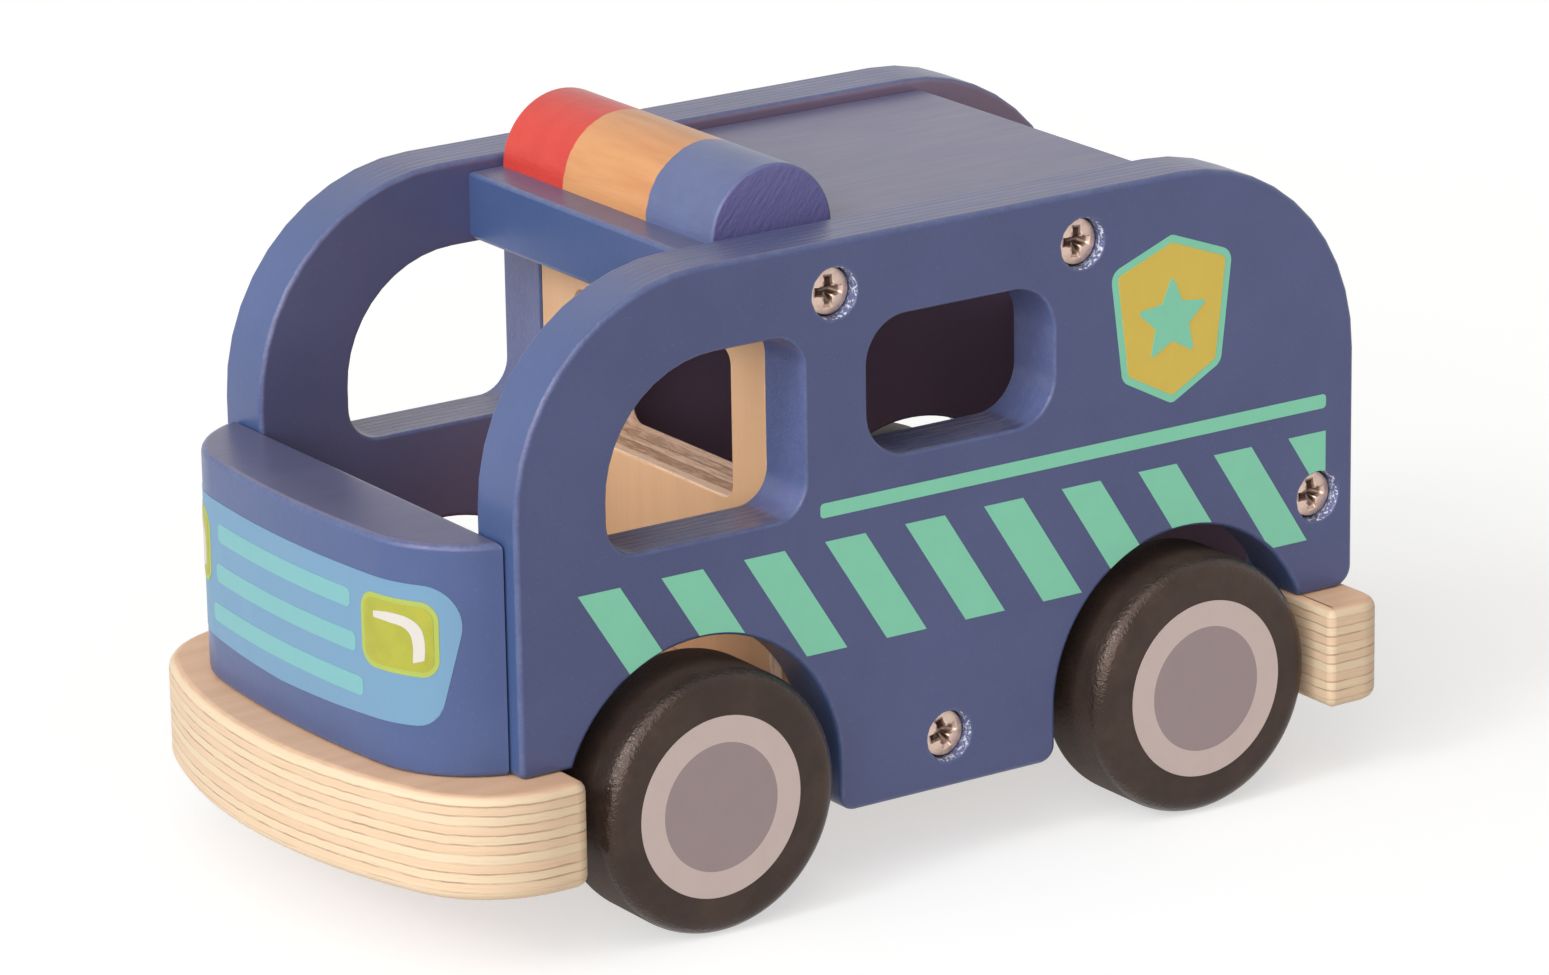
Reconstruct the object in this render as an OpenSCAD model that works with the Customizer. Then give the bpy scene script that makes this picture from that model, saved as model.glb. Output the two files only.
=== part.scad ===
// Wooden toy police bus: two cut-out side panels screwed to a plywood base board, a roof,
// a tailboard and a cab partition, with a bowed nose, a half-round light bar and four wheels
// on two through axles. +X is the front, +Y the left side, +Z up, the floor is at zero.

/* [Wheels and axles] */
// Diameter of a wheel
wheel_d = 38; // [30:0.5:44]
// Width of a wheel across its rim
wheel_w = 14.6; // [12:0.1:18]
// Rounding of the rim's outer edge
wheel_outer_round = 3; // [1:0.1:5]
// Rounding of the rim's inner edge
wheel_inner_round = 2.2; // [1:0.1:5]
// Running gap between a wheel and the side of the base board
wheel_gap = 0.6; // [0.4:0.1:2]
// Distance between the front and the rear axle
wheelbase = 82.4; // [78:0.1:100]
// Diameter of an axle rod
axle_d = 5; // [3:0.1:7]
// Running play of an axle in its bore, on the diameter
axle_play = 0.12; // [0.04:0.02:0.2]
// Depth to which an axle is pressed into a wheel
axle_press = 9; // [6:0.5:10]

/* [Base board] */
// Thickness of the base board
base_t = 15; // [11:0.5:18]
// How far the axles lie below the middle of the base board's thickness
axle_drop = 0.8; // [0:0.1:2]
// How far the front bumper stands out ahead of the side panels
bumper_reach = 19.7; // [17:0.1:26]
// How far the front bumper stands out beside the side panels
front_bumper_overhang = 5.7; // [2:0.1:10]
// Radius of the front bumper's bow, seen from above
front_bumper_bow_r = 95; // [85:1:160]
// Radius of the front bumper's corners
front_bumper_corner_r = 17; // [10:0.5:20]
// Radius of the edges where the front bumper turns in to the wheels
front_bumper_edge_r = 2.4; // [0.5:0.1:4]
// Gap between the front bumper and the front wheels
front_bumper_gap = 2.9; // [1:0.1:6]
// How far the rear bumper stands out beside the side panels
rear_bumper_overhang = 8.3; // [2:0.1:10]
// Radius of the rear bumper's corners
rear_bumper_corner_r = 4.6; // [1:0.1:8]
// Radius of the edges where the rear bumper turns in to the wheels
rear_bumper_edge_r = 1.2; // [0.5:0.1:3]
// Gap between the rear bumper and the rear wheels
rear_bumper_gap = 1.3; // [0.5:0.1:4]

/* [Side panels] */
// Thickness of a side panel
panel_t = 10; // [7:0.5:14]
// Clear width between the two side panels
inner_w = 57.5; // [50:0.5:80]
// Height of a side panel above the base board
panel_h = 66.9; // [64:0.1:80]
// Distance from the panels' front edge back to the front axle
front_overhang = 29.45; // [28:0.05:40]
// Distance from the rear axle back to the panels' rear edge
rear_overhang = 30.75; // [29:0.05:44]
// Radius of the panels' two upper corners
panel_corner_r = 31; // [20:0.5:34]
// Radius of the panels' lower rear corner
panel_heel_r = 3; // [0.5:0.1:5]
// Radius of the panels' lower front corner
panel_toe_r = 1; // [0.5:0.1:4]
// Gap between a wheel and its arch
arch_gap = 3.7; // [2:0.1:5]
// How far the skirt between the arches hangs below the base board
skirt_drop = 0.9; // [0:0.1:3]
// Radius of the skirt's lower corners
skirt_corner_r = 2.5; // [0.5:0.1:5]

/* [Windows] */
// Distance from the panels' top edge down to the windows
window_head = 12.3; // [12:0.1:18]
// Distance from the panels' front edge back to the cab window
cab_window_setback = 14.6; // [10:0.1:18]
// Length of the cab window
cab_window_l = 32.35; // [28:0.05:36]
// Height of the cab window
cab_window_h = 26.1; // [22:0.1:28]
// Radius of the cab window's upper front corner
cab_window_bow_r = 18; // [10:0.5:20]
// Radius of the cab window's other corners
cab_window_corner_r = 5; // [1:0.1:7]
// Width of the pillar between the cab window and the rear window
pillar_w = 10.4; // [10.2:0.1:14]
// Length of the rear window
rear_window_l = 31.8; // [24:0.1:40]
// Height of the rear window
rear_window_h = 20.1; // [16:0.1:28]
// Radius of the rear window's corners
rear_window_corner_r = 6.7; // [1:0.1:8]

/* [Roof and light bar] */
// Thickness of the roof board
roof_t = 10; // [9:0.5:12]
// How far the roof lies below the panels' top edges
roof_sink = 1.7; // [0:0.1:3]
// Distance from the panels' front edge back to the roof
roof_setback = 35.5; // [24:0.5:40]
// Distance from the roof's rear edge back to the panels' rear edge
roof_tail_setback = 28.45; // [15:0.05:34]
// Radius of the half-round light bar
light_bar_r = 10; // [9:0.5:12]
// Gap between the light bar's left end and the left side panel
light_bar_left_gap = 2.9; // [0.4:0.1:6]
// Gap between the light bar's right end and the right side panel
light_bar_right_gap = 0.6; // [0.4:0.1:6]
// Distance from the roof's front edge back to the middle of the light bar
light_bar_setback = 15.2; // [12:0.1:20]

/* [Cab partition and tailboard] */
// Thickness of the cab partition
partition_t = 10; // [8:0.1:10]
// Width of the window in the partition
partition_window_w = 40; // [30:0.5:46]
// Distance from the roof down to the window in the partition
partition_window_head = 7.3; // [3:0.1:12]
// Height of the partition's window sill above the base board
partition_sill_h = 26.3; // [20:0.1:28]
// Radius of the partition window's corners
partition_window_corner_r = 2.2; // [0.5:0.1:6]
// Thickness of the tailboard
tailboard_t = 10; // [8:0.1:12]
// Height of the tailboard
tailboard_h = 30.8; // [22:0.1:40]
// How far the tailboard lies inside the panels' rear edges
tailboard_inset = 1.5; // [0:0.1:5]

/* [Nose block] */
// Height of the nose block
nose_h = 33.1; // [24:0.1:44]
// How far the nose block stands out ahead of the side panels
nose_reach = 13.5; // [12:0.1:16]
// How far the nose block's ends lie inside the panels' outer faces
nose_inset = 2; // [0:0.1:6]
// Radius of the nose block's bow, seen from above
nose_bow_r = 180; // [150:1:260]
// Radius of the nose block's corners
nose_corner_r = 17; // [10:0.1:20]

/* [Screws and dowels] */
// Diameter of a screw head
screw_head_d = 6.7; // [5:0.1:8]
// Height of a screw head's straight rim
screw_rim_h = 1.7; // [0.8:0.1:2.4]
// Height of a screw head's dome above its rim
screw_dome_h = 0.3; // [0.2:0.1:1.5]
// Diameter of a screw's shank
screw_d = 3.5; // [2.5:0.1:4.5]
// How deep a screw bites into the board behind its panel
screw_bite = 14; // [8:0.5:16]
// Depth of the recess that sinks a screw head into its panel
screw_recess = 3.6; // [3:0.1:6]
// Width of the free rim between a screw head and its recess, on the diameter
screw_recess_gap = 0.5; // [0.4:0.1:2]
// Span of the cross in a screw head
screw_cross_w = 4.6; // [2.5:0.1:5.4]
// Width of one slot of the cross
screw_cross_slot = 1.3; // [0.6:0.1:1.6]
// Depth of the cross
screw_cross_depth = 1.3; // [0.5:0.1:1.6]
// How far the screws sit below the middle of the board that they bite into
screw_drop = 0.8; // [0:0.1:1.5]
// Distance between the two screws along the roof
roof_screw_spacing = 42; // [30:0.5:48]
// Diameter of the glued dowels
dowel_d = 6; // [4:0.5:8]
// How deep a dowel sits in each of its two boards
dowel_bite = 8; // [5:0.5:9]
// How deep a light bar dowel sits in the roof and in the bar
light_dowel_bite = 6; // [4:0.5:7]
// Space left at the bottom of a dowel hole for glue
dowel_glue = 0.5; // [0.2:0.1:0.8]
// Distance between the two dowels of the nose block
nose_dowel_spacing = 40; // [24:0.5:46]
// Distance from a side panel to the middle of the partition dowel beside it
partition_dowel_inset = 10.75; // [6:0.25:16]
// Distance between the two dowels of the light bar
light_dowel_spacing = 14; // [11:0.5:18]

/* [Hidden] */
$fn = 96;
// Depth by which a cutting shape runs past the face that it cuts
past = 1;

// Heights above the floor
wheel_r = wheel_d / 2;
axle_z = wheel_r;
base_z = axle_z + axle_drop - base_t / 2;
base_screw_z = base_z + base_t / 2 - screw_drop;
deck_z = base_z + base_t;
skirt_z = base_z - skirt_drop;
panel_top_z = deck_z + panel_h;
roof_top_z = panel_top_z - roof_sink;
roof_z = roof_top_z - roof_t;
roof_screw_z = roof_top_z - roof_t / 2 - screw_drop;
window_top_z = panel_top_z - window_head;
tailboard_screw_z = deck_z + tailboard_h / 2 - screw_drop;

// Places along the bus, with the middle of its whole length at zero
panel_l = front_overhang + wheelbase + rear_overhang;
whole_l = bumper_reach + panel_l;
bumper_front_x = whole_l / 2;
panel_front_x = bumper_front_x - bumper_reach;
panel_rear_x = panel_front_x - panel_l;
front_axle_x = panel_front_x - front_overhang;
rear_axle_x = front_axle_x - wheelbase;
front_bumper_x = front_axle_x + wheel_r + front_bumper_gap;
rear_bumper_x = rear_axle_x - wheel_r - rear_bumper_gap;
base_screw_x = (front_axle_x + rear_axle_x) / 2;
cab_window_front_x = panel_front_x - cab_window_setback;
cab_window_rear_x = cab_window_front_x - cab_window_l;
rear_window_front_x = cab_window_rear_x - pillar_w;
rear_window_rear_x = rear_window_front_x - rear_window_l;
partition_mid_x = cab_window_rear_x - pillar_w / 2;
roof_front_x = panel_front_x - roof_setback;
roof_rear_x = panel_rear_x + roof_tail_setback;
roof_rear_screw_x = partition_mid_x - roof_screw_spacing;
light_bar_x = roof_front_x - light_bar_setback;
tailboard_mid_x = panel_rear_x + tailboard_inset + tailboard_t / 2;
nose_dowel_x = panel_front_x + nose_reach / 2;

// Widths, measured from the middle plane
inner_y = inner_w / 2;
outer_y = inner_y + panel_t;
front_bumper_y = outer_y + front_bumper_overhang;
rear_bumper_y = outer_y + rear_bumper_overhang;
nose_y = outer_y - nose_inset;
partition_dowel_spacing = inner_w - 2 * partition_dowel_inset;
wheel_y = inner_y + wheel_gap;
axle_l = 2 * (wheel_y + axle_press);
light_bar_left_y = inner_y - light_bar_left_gap;
light_bar_right_y = light_bar_right_gap - inner_y;
arch_r = wheel_r + arch_gap;
screw_recess_d = screw_head_d + screw_recess_gap;
screw_l = panel_t - screw_recess + screw_bite;

// Paints and bare materials
navy = [0.20, 0.28, 0.52];
bare_ply = [0.88, 0.76, 0.58];
wheel_black = [0.14, 0.12, 0.11];
steel = [0.72, 0.72, 0.74];
beech = [0.86, 0.66, 0.44];
lamp_red = [0.85, 0.20, 0.18];

// Flat shape: a rectangle whose lower left, lower right, upper right and upper left corners
// have their own radii
module round_plate(low, high, radii) {
    inward = [[1, 1], [-1, 1], [-1, -1], [1, -1]];
    corner = [low, [high.x, low.y], high, [low.x, high.y]];
    polygon([
        for (i = [0:3], step = radii[i] == 0 ? [0] : i % 2 == 0 ? [1, 0] : [0, 1])
            corner[i] + radii[i] * [inward[i].x * (1 - step), inward[i].y * step]
    ]);
    for (i = [0:3])
        if (radii[i] > 0)
            intersection() {
                translate(corner[i] + radii[i] * inward[i]) circle(radii[i]);
                translate(corner[i] + radii[i] * (inward[i] - [1, 1]) / 2) square(radii[i]);
            }
}

// Flat shape: a bow-fronted board seen from above, with tangent rounded corners
module bow_plate(back_x, front_x, half_w, bow_r, corner_r, edge_r) {
    bow_x = front_x - bow_r;
    corner_y = half_w - corner_r;
    corner_x = bow_x + sqrt(pow(bow_r - corner_r, 2) - pow(corner_y, 2));
    reach = bow_r / (bow_r - corner_r);
    tip = [bow_x + (corner_x - bow_x) * reach, corner_y * reach];
    start_x = min(back_x, corner_x) - past;
    intersection() {
        union() {
            translate([start_x, -half_w]) square([corner_x - start_x, 2 * half_w]);
            for (side = [-1, 1])
                translate([corner_x, side * corner_y]) circle(corner_r);
            intersection() {
                translate([bow_x, 0]) circle(bow_r);
                polygon([
                    [start_x, corner_y], [corner_x, corner_y], tip, [front_x + past, tip.y],
                    [front_x + past, -tip.y], [tip.x, -tip.y], [corner_x, -corner_y],
                    [start_x, -corner_y]
                ]);
            }
        }
        round_plate([back_x, -half_w], [front_x + past, half_w], [edge_r, 0, 0, edge_r]);
    }
}

// A flat shape drawn in length and height, set up as a board across the bus
module upright(y0, y1) {
    translate([0, y1, 0]) rotate([90, 0, 0]) linear_extrude(y1 - y0) children();
}

// A round rod or bore across the bus
module cross_rod(x, z, d, y0, y1) {
    translate([x, y0, z]) rotate([-90, 0, 0]) cylinder(d = d, h = y1 - y0);
}

// Pilot holes of the screws that come in from both sides
module screw_pilots(x, z) {
    for (side = [0, 1])
        mirror([0, side, 0]) cross_rod(x, z, screw_d, inner_y - screw_bite, inner_y + past);
}

// Holes for a pair of upright dowels, from the joint at z by the depth below or above it
module dowel_holes(x, z, spacing, below, above) {
    for (side = [-1, 1])
        translate([x, side * spacing / 2, z - below]) cylinder(d = dowel_d, h = below + above);
}

// Plywood base board whose wide ends are the bumpers, bored for the axles
module base_board() {
    color(bare_ply) difference() {
        translate([0, 0, base_z]) linear_extrude(base_t) {
            bow_plate(front_bumper_x, bumper_front_x, front_bumper_y, front_bumper_bow_r,
                front_bumper_corner_r, front_bumper_edge_r);
            translate([rear_bumper_x - past, -inner_y])
                square([front_bumper_x - rear_bumper_x + 2 * past, inner_w]);
            round_plate([panel_rear_x, -rear_bumper_y], [rear_bumper_x, rear_bumper_y],
                [rear_bumper_corner_r, rear_bumper_edge_r, rear_bumper_edge_r, rear_bumper_corner_r]);
        }
        for (x = [front_axle_x, rear_axle_x])
            cross_rod(x, axle_z, axle_d + axle_play, -inner_y - past, inner_y + past);
        screw_pilots(base_screw_x, base_screw_z);
        dowel_holes(nose_dowel_x, deck_z, nose_dowel_spacing, dowel_bite + dowel_glue, past);
        dowel_holes(partition_mid_x, deck_z, partition_dowel_spacing, dowel_bite + dowel_glue, past);
    }
}

// Outline of a side panel with its wheel arches and windows
module panel_outline() {
    difference() {
        union() {
            round_plate([panel_rear_x, deck_z], [panel_front_x, panel_top_z],
                [panel_heel_r, panel_toe_r, panel_corner_r, panel_corner_r]);
            translate([rear_axle_x, axle_z]) square([wheelbase, deck_z - axle_z + past]);
            round_plate([rear_axle_x + arch_r, skirt_z], [front_axle_x - arch_r, axle_z],
                [skirt_corner_r, skirt_corner_r, 0, 0]);
        }
        for (x = [front_axle_x, rear_axle_x])
            translate([x, axle_z]) circle(arch_r);
        round_plate([cab_window_rear_x, window_top_z - cab_window_h],
            [cab_window_front_x, window_top_z],
            [cab_window_corner_r, cab_window_corner_r, cab_window_bow_r, cab_window_corner_r]);
        round_plate([rear_window_rear_x, window_top_z - rear_window_h],
            [rear_window_front_x, window_top_z],
            [rear_window_corner_r, rear_window_corner_r, rear_window_corner_r, rear_window_corner_r]);
    }
}

// Places of the four screws in a side panel, in length and height
screw_places = [
    [partition_mid_x, roof_screw_z],
    [roof_rear_screw_x, roof_screw_z],
    [tailboard_mid_x, tailboard_screw_z],
    [base_screw_x, base_screw_z]
];

// Painted side panel, the left one where side is 0 and its mirror image where side is 1
module side_panel(side) {
    color(navy) mirror([0, side, 0]) difference() {
        upright(inner_y, outer_y) panel_outline();
        for (place = screw_places) {
            cross_rod(place.x, place.y, screw_d, inner_y - past, outer_y + past);
            cross_rod(place.x, place.y, screw_recess_d, outer_y - screw_recess, outer_y + past);
        }
    }
}

// Painted roof board, let in between the side panels
module roof_board() {
    color(navy) difference() {
        translate([roof_rear_x, -inner_y, roof_z])
            cube([roof_front_x - roof_rear_x, inner_w, roof_t]);
        screw_pilots(partition_mid_x, roof_screw_z);
        screw_pilots(roof_rear_screw_x, roof_screw_z);
        dowel_holes(light_bar_x, roof_top_z, light_dowel_spacing, light_dowel_bite + dowel_glue, past);
    }
}

// Bare plywood partition behind the cab, with a window
module cab_partition() {
    color(bare_ply) difference() {
        translate([partition_mid_x - partition_t / 2, -inner_y, deck_z])
            cube([partition_t, inner_w, roof_z - deck_z]);
        translate([partition_mid_x - partition_t / 2 - past, 0, 0])
            rotate([90, 0, 90]) linear_extrude(partition_t + 2 * past)
                round_plate([-partition_window_w / 2, deck_z + partition_sill_h],
                    [partition_window_w / 2, roof_z - partition_window_head],
                    [for (i = [0:3]) partition_window_corner_r]);
        dowel_holes(partition_mid_x, deck_z, partition_dowel_spacing, past, dowel_bite + dowel_glue);
    }
}

// Painted tailboard between the side panels
module tailboard() {
    color(navy) difference() {
        translate([tailboard_mid_x - tailboard_t / 2, -inner_y, deck_z])
            cube([tailboard_t, inner_w, tailboard_h]);
        screw_pilots(tailboard_mid_x, tailboard_screw_z);
    }
}

// Painted nose block with a bowed front, standing on the front bumper
module nose_block() {
    color(navy) difference() {
        translate([0, 0, deck_z]) linear_extrude(nose_h)
            bow_plate(panel_front_x, panel_front_x + nose_reach, nose_y, nose_bow_r, nose_corner_r, 0);
        dowel_holes(nose_dowel_x, deck_z, nose_dowel_spacing, past, dowel_bite + dowel_glue);
    }
}

// Half-round light bar across the roof, red at its right end and blue at its left end
module light_bar() {
    color(lamp_red) difference() {
        translate([light_bar_x, 0, roof_top_z]) upright(light_bar_right_y, light_bar_left_y)
            intersection() {
                circle(light_bar_r);
                translate([-light_bar_r, 0]) square([2 * light_bar_r, light_bar_r]);
            }
        dowel_holes(light_bar_x, roof_top_z, light_dowel_spacing, past, light_dowel_bite + dowel_glue);
    }
}

// Steel axle rod that turns in the base board
module axle(x) {
    color(steel) cross_rod(x, axle_z, axle_d, -axle_l / 2, axle_l / 2);
}

// Painted wooden wheel with rounded rims, pressed on the end of an axle
module wheel(x, side) {
    color(wheel_black) mirror([0, side, 0]) difference() {
        translate([x, wheel_y, axle_z]) rotate([-90, 0, 0]) rotate_extrude()
            round_plate([0, 0], [wheel_r, wheel_w], [0, wheel_inner_round, wheel_outer_round, 0]);
        cross_rod(x, axle_z, axle_d, wheel_y - past, wheel_y + axle_press);
    }
}

// Steel wood screw with a slightly domed cross head, sunk in a side panel and driven into a board
module side_screw(place, side) {
    dome_r = (pow(screw_head_d / 2, 2) + pow(screw_dome_h, 2)) / (2 * screw_dome_h);
    head_h = screw_rim_h + screw_dome_h;
    color(steel) mirror([0, side, 0])
        translate([place.x, outer_y - screw_recess, place.y]) rotate([-90, 0, 0])
            difference() {
                union() {
                    rotate_extrude() {
                        square([screw_head_d / 2, screw_rim_h]);
                        intersection() {
                            translate([0, head_h - dome_r]) circle(dome_r);
                            translate([0, screw_rim_h]) square([screw_head_d / 2, screw_dome_h]);
                        }
                    }
                    translate([0, 0, -screw_l]) cylinder(d = screw_d, h = screw_l);
                }
                for (turn = [0, 90])
                    rotate([0, 0, turn])
                        translate([-screw_cross_w / 2, -screw_cross_slot / 2, head_h - screw_cross_depth])
                            cube([screw_cross_w, screw_cross_slot, screw_cross_depth + past]);
            }
}

// Glued upright dowel that pins two boards together at the joint at z
module dowel(x, y, z, bite) {
    color(beech) translate([x, y, z - bite]) cylinder(d = dowel_d, h = 2 * bite);
}

base_board();
side_panel(0);  // left_side_panel
side_panel(1);  // right_side_panel
roof_board();
cab_partition();
tailboard();
nose_block();
light_bar();
axle(front_axle_x);  // front_axle
axle(rear_axle_x);  // rear_axle
wheel(front_axle_x, 0);  // front_left_wheel
wheel(front_axle_x, 1);  // front_right_wheel
wheel(rear_axle_x, 0);  // rear_left_wheel
wheel(rear_axle_x, 1);  // rear_right_wheel
side_screw(screw_places[0], 0);  // left_roof_front_screw
side_screw(screw_places[1], 0);  // left_roof_rear_screw
side_screw(screw_places[2], 0);  // left_tail_screw
side_screw(screw_places[3], 0);  // left_base_screw
side_screw(screw_places[0], 1);  // right_roof_front_screw
side_screw(screw_places[1], 1);  // right_roof_rear_screw
side_screw(screw_places[2], 1);  // right_tail_screw
side_screw(screw_places[3], 1);  // right_base_screw
dowel(nose_dowel_x, nose_dowel_spacing / 2, deck_z, dowel_bite);  // nose_left_dowel
dowel(nose_dowel_x, -nose_dowel_spacing / 2, deck_z, dowel_bite);  // nose_right_dowel
dowel(partition_mid_x, partition_dowel_spacing / 2, deck_z, dowel_bite);  // partition_left_dowel
dowel(partition_mid_x, -partition_dowel_spacing / 2, deck_z, dowel_bite);  // partition_right_dowel
dowel(light_bar_x, light_dowel_spacing / 2, roof_top_z, light_dowel_bite);  // light_left_dowel
dowel(light_bar_x, -light_dowel_spacing / 2, roof_top_z, light_dowel_bite);  // light_right_dowel
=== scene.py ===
from math import acos, asin, atan2, ceil, copysign, cos, degrees, dist, pi, radians, sin, sqrt, tan

import bmesh
import bpy
from mathutils import Matrix, Vector, noise
from mathutils.geometry import tessellate_polygon


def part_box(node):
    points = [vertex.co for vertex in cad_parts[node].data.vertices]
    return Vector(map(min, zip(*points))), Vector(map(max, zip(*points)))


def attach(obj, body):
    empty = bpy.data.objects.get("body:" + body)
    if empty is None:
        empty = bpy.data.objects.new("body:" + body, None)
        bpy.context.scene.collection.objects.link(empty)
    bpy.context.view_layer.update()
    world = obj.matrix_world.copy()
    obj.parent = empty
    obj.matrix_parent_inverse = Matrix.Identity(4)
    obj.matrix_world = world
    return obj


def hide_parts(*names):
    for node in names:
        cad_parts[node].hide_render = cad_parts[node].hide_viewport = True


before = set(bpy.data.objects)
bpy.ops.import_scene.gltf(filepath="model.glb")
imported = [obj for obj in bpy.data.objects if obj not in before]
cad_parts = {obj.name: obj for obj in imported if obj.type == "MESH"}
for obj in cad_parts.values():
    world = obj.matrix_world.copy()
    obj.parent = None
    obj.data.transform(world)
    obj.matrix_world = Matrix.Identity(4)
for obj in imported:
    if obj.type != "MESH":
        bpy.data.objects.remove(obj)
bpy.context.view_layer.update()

# Base board: one I-shaped piece of birch plywood whose wide ends are the bumpers. It is sawn to
# shape, its edges are rounded over and sanded so that the plies show, and it is left bare under a
# clear matt lacquer. Two bores across its waist carry the axles.
mm = 0.001
scene = bpy.context.scene


def arc(centre, radius, start, end, step=4.0):
    """Points along an arc, from the start angle to the end angle in degrees."""
    count = max(2, ceil(abs(end - start) / step))
    angles = [radians(start + (end - start) * i / count) for i in range(count + 1)]
    return [(centre[0] + radius * cos(a), centre[1] + radius * sin(a)) for a in angles]


def rounded(corners):
    """A closed outline through corners given as (u, v, radius), with each corner rounded."""
    loop = []
    for i, (u, v, radius) in enumerate(corners):
        if radius == 0:
            loop.append((u, v))
            continue
        here = Vector((u, v))
        to_last = (Vector(corners[i - 1][:2]) - here).normalized()
        to_next = (Vector(corners[(i + 1) % len(corners)][:2]) - here).normalized()
        half = to_last.angle(to_next) / 2
        centre = here + (to_last + to_next).normalized() * (radius / sin(half))
        first = here + to_last * (radius / tan(half)) - centre
        sweep = degrees(first.angle_signed(here + to_next * (radius / tan(half)) - centre))
        start = degrees(atan2(first.y, first.x))
        loop += arc(centre, radius, start, start - sweep, step=9.0)
    return loop


def bow_corner(front_x, half_width, bow_radius, corner_radius):
    """The centres of a bowed front's bow and left corner, and the angle where the two arcs meet."""
    bow_x = front_x - bow_radius
    corner_y = half_width - corner_radius
    corner_x = bow_x + sqrt((bow_radius - corner_radius) ** 2 - corner_y ** 2)
    return bow_x, corner_x, corner_y, atan2(corner_y, corner_x - bow_x)


def bow_front(back_x, front_x, half_width, bow_radius, corner_radius):
    """The front of a board seen from above: a shallow bow with tangent corners, from right to left."""
    bow_x, corner_x, corner_y, meet = bow_corner(front_x, half_width, bow_radius, corner_radius)
    turn = degrees(meet)
    stop = degrees(acos(min(1.0, max(0.0, (back_x - corner_x) / corner_radius))))
    right = arc((corner_x, -corner_y), corner_radius, -stop, -turn)
    front = arc((bow_x, 0.0), bow_radius, -turn, turn, step=1.0)
    left = arc((corner_x, corner_y), corner_radius, turn, stop)
    return right + front[1:-1] + left


def inset(loop, distance):
    """The outline moved into the wood; the wood lies on the left of the way that the loop runs."""
    sharpest = 0.35
    moved = []
    for i, here in enumerate(loop):
        before = Vector(here) - Vector(loop[i - 1])
        after = Vector(loop[(i + 1) % len(loop)]) - Vector(here)
        side = Vector((-before.y, before.x)).normalized()
        middle = (side + Vector((-after.y, after.x)).normalized()).normalized()
        moved.append(tuple(Vector(here) + middle * (distance / max(sharpest, middle.dot(side)))))
    return moved


def edge_wall(loop, low, high, rounding, sanded=0.0, steps=4):
    """Rings of (thickness, outline, wear) up the edge of a board, both its edges rounded over.

    The corners are rubbed the most, sanded is the wear on the flat of the edge; both set painted light too.
    """
    rings = []
    for k in range(steps + 1):
        a = radians(90.0 * k / steps)
        wear = max(sin(2 * a), sanded * sin(a))
        ring = inset(loop, rounding * (1 - sin(a)))
        rings.append((low + rounding * (1 - cos(a)), ring, wear))
    return rings + [(low + high - t, ring, wear) for t, ring, wear in reversed(rings)]


def skin(mesh, rows):
    """Adds the faces between each row of points and the next."""
    for below, above in zip(rows, rows[1:]):
        for i in range(len(below)):
            mesh.faces.new(list(dict.fromkeys((below[i - 1], below[i], above[i], above[i - 1]))))


def board(name, walls, place=lambda u, v, t: (u, v, t)):
    """A solid board: walls of rings from its low face to its high face, the outer wall first."""
    mesh = bmesh.new()
    wear_and_light = mesh.verts.layers.float.new("wear_and_light")
    ends = []
    for rings in walls:
        rows = []
        for thickness, loop, wear in rings:
            rows.append([mesh.verts.new(place(u, v, thickness)) for u, v in loop])
            for vertex in rows[-1]:
                vertex[wear_and_light] = wear
        skin(mesh, rows)
        ends.append((rows[0], rows[-1]))
    for loops in zip(*ends):
        corners = [vertex for loop in loops for vertex in loop]
        for triangle in tessellate_polygon([[v.co for v in loop] for loop in loops]):
            mesh.faces.new([corners[i] for i in triangle])
    return solid(name, mesh)


def solid(name, mesh):
    """A scene object from a finished mesh, shaded smooth with its flat faces kept flat."""
    bmesh.ops.remove_doubles(mesh, verts=mesh.verts, dist=0.001 * mm)
    bmesh.ops.dissolve_degenerate(mesh, edges=mesh.edges, dist=0.001 * mm)
    bmesh.ops.recalc_face_normals(mesh, faces=mesh.faces)
    for face in mesh.faces:
        face.smooth = True
    data = bpy.data.meshes.new(name)
    mesh.to_mesh(data)
    mesh.free()
    piece = bpy.data.objects.new(name, data)
    scene.collection.objects.link(piece)
    even_shading(piece)
    return piece


def even_shading(piece):
    """Keeps the corners of a piece crisp and spreads the shading evenly over its roundings."""
    piece.data.set_sharp_from_angle(angle=radians(40))
    even = piece.modifiers.new("even_normals", "WEIGHTED_NORMAL")
    even.keep_sharp = True


def band(start, end, outer, inner=0):
    """A lathe profile between two lengths along the axis and two radii."""
    return [(start, inner), (start, outer), (end, outer), (end, inner)]


def turned(name, profile, place, steps):
    """A piece turned on a lathe: profile points are (length along the axis, radius)."""
    mesh = bmesh.new()
    rows = []
    for length, radius in profile:
        if radius == 0:
            rows.append([mesh.verts.new(place(0.0, 0.0, length))] * steps)
            continue
        circle = arc((0, 0), radius, 0, 360, 360 / steps)[:-1]
        rows.append([mesh.verts.new(place(u, v, length)) for u, v in circle])
    skin(mesh, rows)
    return solid(name, mesh)


def cut_away(piece, *cutters):
    """Cuts the cutters out of a piece for good, and removes them."""
    piece.modifiers.clear()
    for cutter in cutters:
        cut = piece.modifiers.new("cut", "BOOLEAN")
        cut.operation = "DIFFERENCE"
        cut.solver = "EXACT"
        cut.object = cutter
    done = piece.evaluated_get(bpy.context.evaluated_depsgraph_get())
    cut_mesh = bpy.data.meshes.new_from_object(done)
    piece.modifiers.clear()
    old_mesh = piece.data
    piece.data = cut_mesh
    bpy.data.meshes.remove(old_mesh)
    for cutter in cutters:
        bpy.data.objects.remove(cutter)
    even_shading(piece)


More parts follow.
